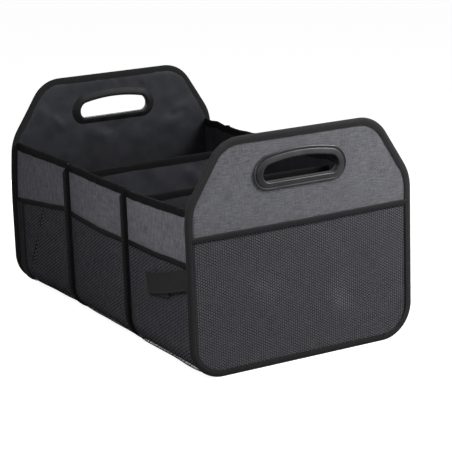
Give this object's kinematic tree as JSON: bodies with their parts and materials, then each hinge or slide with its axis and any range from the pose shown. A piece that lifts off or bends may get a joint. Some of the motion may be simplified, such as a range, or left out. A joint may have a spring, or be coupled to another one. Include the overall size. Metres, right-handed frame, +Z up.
{
  "type": "collapsible boot organizer bag",
  "caption": "Soft-walled car boot organizer with stiff end panels, hand holes, inner dividers, mesh pockets on its outside and closing straps.",
  "frame": {"origin": "bottom centre of the bag, on the surface it stands on", "axes": "+X along the bag to the front end panel, +Y to the right wall, +Z up"},
  "size_m": [0.6072, 0.374, 0.339],
  "materials": {
    "heather_cloth": "grey heather plain weave",
    "coated_lining": "black coated cloth, soft sheen",
    "mesh_cloth": "dark open knit mesh",
    "binding_tape": "black woven tape",
    "webbing": "black webbing",
    "board": "rough grey plastic board",
    "grommet_plastic": "dark grey moulded plastic"
  },
  "bodies": {
    "root": {"front_panel_fabric": "heather_cloth", "front_panel_lining": "coated_lining", "front_panel_board": "board", "front_panel_binding": "binding_tape", "front_mesh_pocket": "mesh_cloth", "front_pocket_band": "binding_tape", "front_handle_outer_ring": "grommet_plastic", "front_handle_inner_ring": "grommet_plastic", "rear_panel_fabric": "heather_cloth", "rear_panel_lining": "coated_lining", "rear_panel_board": "board", "rear_panel_binding": "binding_tape", "rear_mesh_pocket": "mesh_cloth", "rear_pocket_band": "binding_tape", "rear_handle_outer_ring": "grommet_plastic", "rear_handle_inner_ring": "grommet_plastic", "rear_section_shell": "heather_cloth", "rear_section_lining": "coated_lining", "rear_base_board": "coated_lining", "rear_left_top_binding": "binding_tape", "rear_left_mesh_pocket": "mesh_cloth", "rear_left_pocket_band": "binding_tape", "rear_right_top_binding": "binding_tape", "rear_right_mesh_pocket": "mesh_cloth", "rear_right_pocket_band": "binding_tape", "middle_section_shell": "heather_cloth", "middle_section_lining": "coated_lining", "middle_base_board": "coated_lining", "middle_left_top_binding": "binding_tape", "middle_left_mesh_pocket": "mesh_cloth", "middle_left_pocket_band": "binding_tape", "middle_right_top_binding": "binding_tape", "middle_right_mesh_pocket": "mesh_cloth", "middle_right_pocket_band": "binding_tape", "front_section_shell": "heather_cloth", "front_section_lining": "coated_lining", "front_base_board": "coated_lining", "front_left_top_binding": "binding_tape", "front_left_mesh_pocket": "mesh_cloth", "front_left_pocket_band": "binding_tape", "front_right_top_binding": "binding_tape", "front_right_mesh_pocket": "mesh_cloth", "front_right_pocket_band": "binding_tape", "front_rib_binding": "binding_tape", "front_divider_board": "board", "front_divider_rear_ply": "coated_lining", "front_divider_front_ply": "coated_lining", "front_divider_binding": "binding_tape", "rear_rib_binding": "binding_tape", "rear_divider_board": "board", "rear_divider_rear_ply": "coated_lining", "rear_divider_front_ply": "coated_lining", "rear_divider_binding": "binding_tape", "left_closing_strap": "webbing", "left_loop_strip": "webbing", "right_closing_strap": "webbing", "right_loop_strip": "webbing"}
  },
  "joints": []
}
